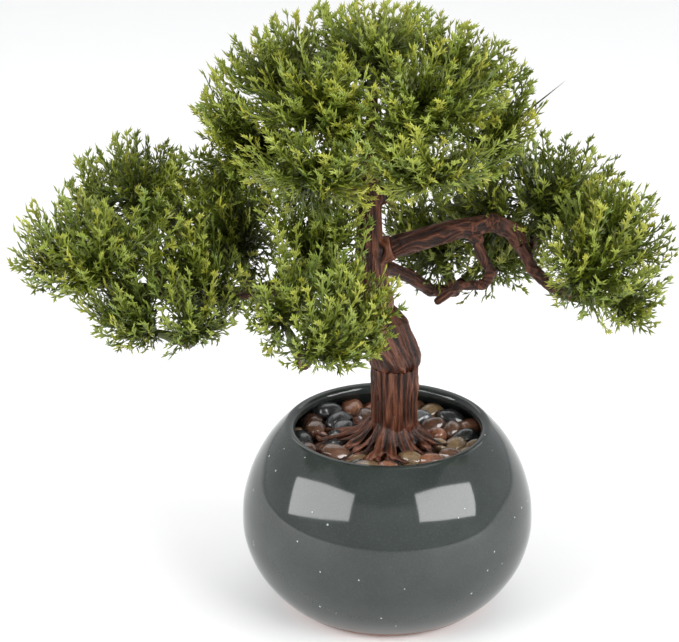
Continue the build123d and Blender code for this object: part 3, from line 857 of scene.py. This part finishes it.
def bark_material():
    bark = bpy.context.scene.conifer_bark

    def build(shader):
        ridge = shader.value("ridge")
        strand = shader.node("ShaderNodeAttribute", attribute_name="strand").outputs["Vector"]
        fibre = shader.noise(2.6, 3.0, 0.6, strand)
        grain = shader.noise(1100.0, 4.0, 0.65)
        patch = shader.noise(70.0, 3.0)
        tone = shader.math("ADD", ridge, shader.math("MULTIPLY", grain, 0.2))
        tone = shader.math("ADD", tone, shader.math("MULTIPLY", fibre, 0.75))
        colour = shader.mix(shader.spread(tone, 0.62, 1.3), tuple(bark.dark), tuple(bark.light))
        # Paler still on the crests of the highest ridges
        paler_crests = shader.spread(tone, 1.1, 1.45, 0.0, 0.7)
        colour = shader.mix(paler_crests, colour, (0.21, 0.085, 0.045))
        ashen = shader.spread(patch, 0.5, 0.7, 0.0, 0.3)
        colour = shader.mix(ashen, colour, (0.045, 0.014, 0.008))
        relief = shader.math("ADD", fibre, shader.math("MULTIPLY", grain, 0.3))
        return {
            "Base Color": colour,
            "Roughness": shader.spread(fibre, 0.3, 0.7, 0.46, 0.3),
            "Specular IOR Level": 0.35,
            "Normal": shader.bump(relief, 0.9, 0.0008),
        }

    return material("Moulded bark", build)


BARK_FORM = {
    # ridge height and grid against the settings, and passes of softening
    "trunk_stump": (1.0, 1.0, 3),
    "trunk_knee": (1.0, 0.9, 3),
    "trunk_upper": (0.8, 0.9, 4),
}


class CONIFER_OT_bark(bpy.types.Operator):
    """Make the bark of the trunk's mouldings and of the limbs"""

    bl_idname = "conifer.bark"
    bl_label = "Trunk and limbs"

    def execute(self, context):
        bark = context.scene.conifer_bark
        finish = bark_material()
        for node in BARK_NODES:
            ridge_share, grid_share, smoothing = BARK_FORM.get(node, (0.5, 0.9, 8))
            grid = bark.voxel * grid_share * 1.0
            mesh = fused(node, grid, smoothing)
            points, normals = mesh_points(mesh), mesh_normals(mesh)
            pitch = bark.pitch * (1.0 if node.startswith("trunk") else 0.75)
            wander = 0.5 * layered_noise(points / (9 * MM))[:, None]
            lines = strands(points, node, pitch) + wander
            ridges = np.clip(1.05 - np.abs(2 * value_noise(lines) - 1) * 2.2, 0, 1)
            fine = layered_noise(lines * 2.3 + 5.0, 2)
            lumps = layered_noise(points / (6 * MM) + 3.3, 2) - 0.5
            height = bark.ridge * ridge_share
            lift = height * (ridges - 0.6) + 0.7 * height * (fine - 0.5) + 0.9 * height * lumps
            if node == "trunk_knee":
                lift += knee_lip(points, normals)
            points = points + normals * lift[:, None]
            points[:, 2] = np.maximum(points[:, 2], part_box(node)[0].z)
            mesh.vertices.foreach_set("co", points.astype(np.float32).ravel())
            mesh.polygons.foreach_set("use_smooth", [True] * len(mesh.polygons))
            mesh.name = "bark_" + node
            piece = bpy.data.objects.new("bark_" + node, mesh)
            context.scene.collection.objects.link(piece)
            set_value(piece, "ridge", 0.65 * ridges + 0.35 * fine)
            layer = mesh.attributes.new("strand", "FLOAT_VECTOR", "POINT")
            layer.data.foreach_set("vector", lines.astype(np.float32).ravel())
            finish_piece(piece, "pot_and_tree", "bark", finish, node)
        return {"FINISHED"}


# --- Pot --------------------------------------------------------------------------------


def wall_point(pot, height, offset, top):
    """A point on the pot's wall, as radius and height, offset outwards from its middle."""
    belly = (POT_HIGH.x - POT_LOW.x) / 2 - pot.wall / 2
    low = height < pot.belly_height
    end_radius = pot.foot_radius - pot.wall / 2 if low else pot.mouth_radius
    end_height = 0.0 if low else top
    reach = (end_height - pot.belly_height) / math.sqrt(1 - (end_radius / belly) ** 2)
    share = (height - pot.belly_height) / reach
    radius = belly * math.sqrt(max(0.0, 1 - share**2))
    out, up = radius / belly**2, (height - pot.belly_height) / reach**2
    length = math.hypot(out, up)
    return radius + offset * out / length, height + offset * up / length


def pot_profile(pot):
    """From the middle of the base, out, up the outside, over the lip and down the inside."""
    top = POT_HIGH.z - pot.wall / 2
    half = pot.wall / 2
    foot = pot.foot_radius
    line = [(0.0, 0.0), (foot * 0.5, 0.0), (foot - 0.0012, 0.0), (foot - 0.0003, 0.0003)]
    line += [(foot + 0.0006, 0.0012), (foot + 0.0012, pot.glaze_line - 0.0003)]
    # The glaze ends in a thin rounded edge that stands out from the clay
    line += [(foot + 0.0017, pot.glaze_line), (foot + 0.0021, pot.glaze_line + 0.0003)]
    heights = np.linspace(pot.glaze_line + 0.0012, top, 72)
    line += [wall_point(pot, h, half, top) for h in heights]
    centre = wall_point(pot, top, 0.0, top)
    edge = wall_point(pot, top, half, top)
    start = math.atan2(edge[1] - centre[1], edge[0] - centre[0])
    for k in range(1, 16):
        turn = start + math.pi * k / 16
        line.append((centre[0] + half * math.cos(turn), centre[1] + half * math.sin(turn)))
    line += [wall_point(pot, h, -half, top) for h in np.linspace(top, 0.011, 40)]
    return line + [(foot - 0.005, 0.0062), (foot * 0.6, 0.006), (0.0, 0.006)]


def pot_material():
    pot = bpy.context.scene.conifer_pot

    def build(shader):
        place_at = shader.node("ShaderNodeTexCoord").outputs["Object"]
        height = shader.node("ShaderNodeSeparateXYZ", {"Vector": place_at}).outputs[2]
        wavy = shader.noise(120.0, 2.0)
        drift = shader.math("MULTIPLY", shader.math("SUBTRACT", wavy, 0.5), 1.2 * MM)
        edge = shader.math("ADD", height, drift)
        glazed = shader.spread(edge, pot.glaze_line - 0.0002, pot.glaze_line + 0.0002)
        tones = place(
            shader,
            mottle_group(),
            {
                "First": tuple(pot.glaze),
                "Second": tuple(1.35 * c for c in pot.glaze),
                "Patches per metre": 45.0,
            },
        )
        colour = tones["Colour"]
        cells = shader.node("ShaderNodeTexVoronoi", {"Vector": place_at, "Scale": 330.0})
        dots = shader.math("LESS_THAN", cells.outputs["Distance"], 0.14)
        chance = shader.node("ShaderNodeSeparateColor", {"Color": cells.outputs["Color"]})
        rare = shader.math("GREATER_THAN", chance.outputs[0], 0.9)
        specks = shader.math("MULTIPLY", dots, rare)
        colour = shader.mix(shader.math("MULTIPLY", specks, 0.8), colour, (0.45, 0.5, 0.46))
        fine = shader.noise(1500.0, 2.0)
        colour = shader.mix(shader.spread(fine, 0.5, 0.8, 0.0, 0.25), colour, (0.075, 0.095, 0.085))
        dark_clay = tuple(0.55 * c for c in pot.clay)
        clay_tone = shader.mix(shader.noise(900.0, 3.0), tuple(pot.clay), dark_clay)
        thin = shader.spread(height, pot.glaze_line, pot.glaze_line + 0.0016, 0.45, 0.0)
        colour = shader.mix(thin, colour, (0.09, 0.055, 0.04))
        colour = shader.mix(glazed, clay_tone, colour)
        rough = shader.mix(glazed, (0.85, 0.85, 0.85), (0.075, 0.075, 0.075))
        ripple = shader.noise(38.0, 2.0)
        pits = shader.math("MULTIPLY", specks, -0.4)
        relief = shader.math("ADD", ripple, pits)
        return {
            "Base Color": colour,
            "Roughness": rough,
            "Specular IOR Level": 0.5,
            "Normal": shader.bump(relief, 0.12, 0.0006),
        }

    return material("Dark celadon glaze", build)


class CONIFER_OT_pot(bpy.types.Operator):
    """Turn the pot"""

    bl_idname = "conifer.pot"
    bl_label = "Glazed pot"

    def execute(self, context):
        pot = context.scene.conifer_pot
        profile = pot_profile(pot)
        around = 192
        turns = np.linspace(0, 2 * math.pi, around, endpoint=False)
        points, faces = [(0, 0, profile[0][1])], []
        for radius, height in profile[1:-1]:
            marks = pot.throwing * math.sin(height / (2.6 * MM)) if height > pot.glaze_line else 0.0
            for turn in turns:
                wide = radius + marks * math.sin(turn * 2 + height / (9 * MM))
                points.append((wide * math.cos(turn), wide * math.sin(turn), height))
        points.append((0, 0, profile[-1][1]))
        last = len(points) - 1
        for k in range(around):
            after = (k + 1) % around
            faces.append((0, 1 + after, 1 + k))
            for row in range(len(profile) - 3):
                low, high = 1 + row * around, 1 + (row + 1) * around
                faces.append((low + k, low + after, high + after, high + k))
            top = 1 + (len(profile) - 3) * around
            faces.append((top + k, top + after, last))
        piece = new_object("glazed_pot", points, faces)
        finish_piece(piece, "pot_and_tree", "glaze", pot_material(), "pot")
        return {"FINISHED"}


# --- Pebbles ----------------------------------------------------------------------------

# Large stones that are laid one by one, in mm from the pot's middle and above the glue bed:
# colour, x, y, z, half length, half width, half height, turn in degrees
LAID = (
    ("black", -25, 28, 6.5, 6.8, 5.0, 3.8, 20),
    ("black", -8, 15, 5.0, 4.4, 3.8, 3.4, 60),
    ("rust", 18.5, -17.5, 4.6, 6.8, 4.0, 3.6, 12),
    ("tan", 8.5, -16.5, 4.8, 5.6, 4.6, 3.9, -20),
    ("grey", 13.5, 21, 6.2, 5.6, 4.6, 3.8, 35),
    ("brown", 27, 11, 5.4, 5.4, 4.2, 3.6, 70),
    ("tan", 28, -4, 5.0, 5.6, 4.4, 3.8, 50),
    ("rust", 20, 6, 5.2, 5.0, 4.0, 3.6, -30),
    ("brown", -30, 12, 5.4, 6.2, 4.6, 3.8, 95),
    ("grey", -21, 3, 4.2, 5.0, 4.2, 3.4, 15),
    ("tan", -12, -18, 4.4, 6.2, 4.4, 3.6, 25),
    ("black", 1, -21, 4.0, 4.6, 3.6, 3.0, -15),
    ("brown", -33, -8, 4.8, 5.8, 4.4, 3.6, 80),
)

STONE_TONES = {
    "black": ((0.012, 0.013, 0.015), (0.05, 0.052, 0.055)),
    "grey": ((0.045, 0.05, 0.055), (0.14, 0.14, 0.14)),
    "brown": ((0.05, 0.022, 0.013), (0.14, 0.07, 0.043)),
    "tan": ((0.1, 0.06, 0.028), (0.24, 0.16, 0.085)),
    "rust": ((0.14, 0.045, 0.018), (0.32, 0.15, 0.09)),
}


# How far the pebbles reach from the pot's middle, and how far they lie on one another
BED_REACH, SHOULDER_REACH = 44.5 * MM, 40 * MM


def stone_material(colour):
    first, second = STONE_TONES[colour]

    def build(shader):
        tones = place(
            shader,
            mottle_group(),
            {"First": first, "Second": second, "Patches per metre": 260.0},
        )
        tint = shader.value("tint")
        colour_out = shader.mix(shader.spread(tint, 0.0, 1.0, 0.0, 0.6), tones["Colour"], second)
        banding = shader.noise(180.0, 5.0, 0.7, stretch=(1.0, 0.4, 3.0))
        pale = shader.spread(banding, 0.58, 0.75, 0.0, 0.5)
        colour_out = shader.mix(pale, colour_out, tuple(min(1.0, 1.7 * c + 0.03) for c in second))
        specks = shader.noise(2600.0, 2.0)
        colour_out = shader.mix(
            shader.spread(specks, 0.6, 0.75, 0.0, 0.55), colour_out, tuple(0.35 * c for c in first)
        )
        return {
            "Base Color": colour_out,
            "Roughness": shader.spread(banding, 0.3, 0.7, 0.16, 0.34),
            "Coat Weight": 0.7,
            "Coat Roughness": 0.08,
            "Normal": shader.bump(specks, 0.18, 0.0002),
        }

    return material(f"Varnished {colour} stone", build)


def stone_template():
    """A round mesh of even squares, blown out from a cube."""
    steps = 9
    line = np.tan(np.linspace(-1, 1, steps) * math.pi / 4)
    points, faces, index = [], [], {}
    for axis in range(3):
        for sign in (-1, 1):
            grid = {}
            for i in range(steps):
                for j in range(steps):
                    spot = np.zeros(3)
                    spot[axis] = sign
                    spot[(axis + 1) % 3] = line[i]
                    spot[(axis + 2) % 3] = line[j]
                    key = tuple(np.round(spot, 6))
                    if key not in index:
                        index[key] = len(points)
                        points.append(spot / np.linalg.norm(spot))
                    grid[i, j] = index[key]
            for i in range(steps - 1):
                for j in range(steps - 1):
                    ring = (grid[i, j], grid[i + 1, j], grid[i + 1, j + 1], grid[i, j + 1])
                    faces.append(ring if sign > 0 else ring[::-1])
    return np.array(points), faces


def stone(template, middle, sizes, turn, lean, shift):
    """One pebble: a lumpy, slightly boxy egg."""
    shape = np.sign(template) * np.abs(template) ** 0.88
    lumps = layered_noise(template * 1.3 + shift, 2) - 0.5
    shape = unit(shape) * (1 + 0.34 * lumps)[:, None] * np.array(sizes)
    c, s = math.cos(lean), math.sin(lean)
    shape = shape @ np.array([[c, 0, -s], [0, 1, 0], [s, 0, c]])
    c, s = math.cos(turn), math.sin(turn)
    return shape @ np.array([[c, s, 0], [-s, c, 0], [0, 0, 1]]) + np.array(middle)


def strew(pebbles, rng, blocked):
    """Chooses pebbles of all sizes, large ones first, wherever there is room."""
    laid = []
    for colour, x, y, z, length, width, height, turn in LAID:
        middle = np.array([x * MM, y * MM, BED_TOP + z * MM])
        laid.append((colour, middle, (length * MM, width * MM, height * MM), math.radians(turn)))
    colours = list(STONE_TONES)
    chances = (0.12, 0.1, 0.34, 0.26, 0.18)
    for k in range(pebbles.tries):
        share = 1 - k / pebbles.tries
        half = pebbles.smallest + (pebbles.largest - pebbles.smallest) * share * rng.uniform(0.7, 1)
        sizes = (half, half * rng.uniform(0.68, 0.85), half * rng.uniform(0.52, 0.7))
        radius = math.sqrt(rng.random()) * (BED_REACH - half)
        turn = rng.uniform(0, 2 * math.pi)
        height = sizes[2] + rng.uniform(-0.4, 3.2) * MM
        # Under the pot's shoulder there is room for one layer only
        if radius > SHOULDER_REACH - half:
            height = sizes[2]
        middle = np.array([radius * math.cos(turn), radius * math.sin(turn), BED_TOP + height])
        clear = True
        for _, other, other_sizes, _ in laid:
            gap = np.linalg.norm((middle - other) * (1, 1, 1.25))
            if gap < 0.86 * (sizes[1] + other_sizes[1]):
                clear = False
                break
        if clear and (np.linalg.norm(blocked - middle, axis=1) < 0.8 * sizes[1]).any():
            clear = False
        if clear:
            laid.append((rng.choice(colours, p=chances), middle, sizes, rng.uniform(0, math.pi)))
    return laid


class CONIFER_OT_pebbles(bpy.types.Operator):
    """Lay the pebbles round the roots"""

    bl_idname = "conifer.pebbles"
    bl_label = "Pebbles"

    def execute(self, context):
        pebbles = context.scene.conifer_pebbles
        rng = np.random.default_rng(pebbles.seed)
        stump = mesh_points(frame["nodes"]["trunk_stump"].data)
        blocked = stump[(stump[:, 2] > BED_TOP) & (stump[:, 2] < BED_TOP + 16 * MM)]
        template, ring_faces = stone_template()
        groups = {colour: ([], [], []) for colour in STONE_TONES}
        for colour, middle, sizes, turn in strew(pebbles, rng, blocked):
            points, faces, tints = groups[str(colour)]
            base = sum(len(p) for p in points)
            lean = rng.uniform(-0.22, 0.22)
            points.append(stone(template, middle, sizes, turn, lean, rng.uniform(0, 30, 3)))
            faces += [tuple(i + base for i in face) for face in ring_faces]
            tints.append(np.full(len(template), rng.random()))
        for colour, (points, faces, tints) in groups.items():
            piece = new_object(f"stones_{colour}", np.vstack(points), faces)
            set_value(piece, "tint", np.concatenate(tints))
            node = f"{colour}_pebbles"
            finish_piece(piece, "pot_and_tree", node, stone_material(colour), node)
        return {"FINISHED"}


# --- Filling ----------------------------------------------------------------------------


def plain_material(name, first, second, rough, patches, bump):
    def build(shader):
        tones = place(
            shader, mottle_group(), {"First": first, "Second": second, "Patches per metre": patches}
        )
        grain = shader.noise(patches * 6, 4.0, 0.7)
        return {
            "Base Color": tones["Colour"],
            "Roughness": shader.spread(grain, 0.3, 0.7, rough - 0.08, rough + 0.08),
            "Normal": shader.bump(grain, 0.5, bump),
        }

    return material(name, build)


def steel_material():
    def build(shader):
        drawn = shader.noise(700.0, 3.0, 0.6, stretch=(1.0, 1.0, 0.05))
        colour = shader.mix(drawn, (0.42, 0.42, 0.43), (0.62, 0.61, 0.6))
        return {
            "Base Color": colour,
            "Metallic": 1.0,
            "Roughness": shader.spread(drawn, 0.3, 0.7, 0.25, 0.45),
        }

    return material("Drawn steel", build)


class CONIFER_OT_filling(bpy.types.Operator):
    """Finish the foam, the glue bed and the stake"""

    bl_idname = "conifer.filling"
    bl_label = "Foam, glue and stake"

    def execute(self, context):
        finishes = {
            "foam_block": plain_material(
                "Rigid foam", (0.06, 0.14, 0.05), (0.1, 0.2, 0.08), 0.85, 400.0, 0.0006
            ),
            "glue_bed": plain_material(
                "Set glue", (0.05, 0.03, 0.02), (0.09, 0.05, 0.035), 0.4, 150.0, 0.0006
            ),
            "anchor_stake": steel_material(),
        }
        for node, finish in finishes.items():
            mesh = frame["nodes"][node].data
            mesh.materials.clear()
            mesh.materials.append(finish)
        return {"FINISHED"}


# --- Stage ------------------------------------------------------------------------------


def floor_material():
    def build(shader):
        grain = shader.noise(30.0, 3.0)
        colour = shader.mix(grain, (0.93, 0.93, 0.93), (0.95, 0.95, 0.95))
        return {"Base Color": colour, "Roughness": 0.6}

    return material("Studio paper", build)


def soft_box(name, place_at, aim, width, height, power, roll=0.0):
    data = bpy.data.lights.new(name, "AREA")
    data.shape = "RECTANGLE"
    data.size = width
    data.size_y = height
    data.energy = power
    lamp = bpy.data.objects.new(name, data)
    lamp.location = place_at
    facing = (Vector(aim) - Vector(place_at)).to_track_quat("-Z", "Y")
    lamp.rotation_euler = (facing @ Quaternion((0, 0, 1), math.radians(roll))).to_euler()
    bpy.context.scene.collection.objects.link(lamp)


class CONIFER_OT_stage(bpy.types.Operator):
    """Set the floor, the lights and the camera"""

    bl_idname = "conifer.stage"
    bl_label = "Stage"

    def execute(self, context):
        stage = context.scene.conifer_stage
        size, steps = 8.0, 8
        edges = np.linspace(-size, size, steps + 1)
        points = [(x, y, 0.0) for y in edges for x in edges]
        faces = []
        for j in range(steps):
            for i in range(steps):
                low = j * (steps + 1) + i
                faces.append((low, low + 1, low + steps + 2, low + steps + 1))
        floor = new_object("studio_floor", points, faces)
        floor.data.materials.append(floor_material())

        world = bpy.data.worlds.new("Studio")
        world.use_nodes = True
        sky = Shader(world.node_tree)
        back = next(n for n in world.node_tree.nodes if n.type == "BACKGROUND")
        # White card all round the table, taller at its sides, and a dim room above it
        way = sky.node("ShaderNodeTexCoord").outputs["Generated"]
        across, _, height = sky.node("ShaderNodeSeparateXYZ", {"Vector": way}).outputs
        aside = sky.spread(sky.math("ABSOLUTE", across), 0.5, 0.95, 0.0, 0.45)
        over = sky.math("SUBTRACT", height, aside)
        sky.put(back.inputs["Color"], (0.97, 0.985, 1.0))
        sky.put(back.inputs["Strength"], sky.spread(over, 0.56, 0.64, 0.66, 0.12))
        context.scene.world = world
        context.scene.view_settings.view_transform = "Standard"

        aim = (0.0, 0.0, 0.1)
        soft_box("left_soft_box", (-1.03, -0.52, 0.62), aim, 1.3, 0.56, 16.0, 17.0)
        soft_box("right_soft_box", (0.92, -0.68, 0.64), aim, 1.15, 0.58, 18.0, -17.0)
        soft_box("top_soft_box", (0.2, 0.9, 2.2), aim, 3.0, 3.0, 33.0)

        data = bpy.data.cameras.new("camera")
        data.sensor_width = 36.0
        data.lens = stage.lens
        camera = bpy.data.objects.new("camera", data)
        way = Vector((0, math.cos(stage.pitch), -math.sin(stage.pitch)))
        camera.location = Vector(stage.target) - way * stage.distance
        camera.rotation_euler = (math.pi / 2 - stage.pitch, 0, 0)
        context.scene.collection.objects.link(camera)
        context.scene.camera = camera
        return {"FINISHED"}


# --- Add-on -----------------------------------------------------------------------------

OPERATORS = (
    CONIFER_OT_stage,
    CONIFER_OT_pot,
    CONIFER_OT_filling,
    CONIFER_OT_bark,
    CONIFER_OT_pebbles,
    CONIFER_OT_sprays,
)


class CONIFER_PT_panel(bpy.types.Panel):
    """The conifer's pieces, in the order that they are made"""

    bl_idname = "CONIFER_PT_panel"
    bl_label = "Tabletop Conifer"
    bl_space_type = "VIEW_3D"
    bl_region_type = "UI"
    bl_category = "Conifer"

    def draw(self, context):
        for operator in OPERATORS:
            self.layout.operator(operator.bl_idname)
        for name, settings in SETTINGS.items():
            box = self.layout.box()
            box.label(text=settings.__doc__)
            for prop in settings.__annotations__:
                box.prop(getattr(context.scene, name), prop)


def register():
    for settings in SETTINGS.values():
        bpy.utils.register_class(settings)
    for operator in OPERATORS:
        bpy.utils.register_class(operator)
    bpy.utils.register_class(CONIFER_PT_panel)
    for name, settings in SETTINGS.items():
        setattr(bpy.types.Scene, name, bpy.props.PointerProperty(type=settings))


def unregister():
    for name in SETTINGS:
        delattr(bpy.types.Scene, name)
    bpy.utils.unregister_class(CONIFER_PT_panel)
    for operator in reversed(OPERATORS):
        bpy.utils.unregister_class(operator)
    for settings in reversed(list(SETTINGS.values())):
        bpy.utils.unregister_class(settings)


def main():
    register()
    for operator in OPERATORS:
        space, name = operator.bl_idname.split(".")
        getattr(getattr(bpy.ops, space), name)()


if __name__ == "__main__":
    main()
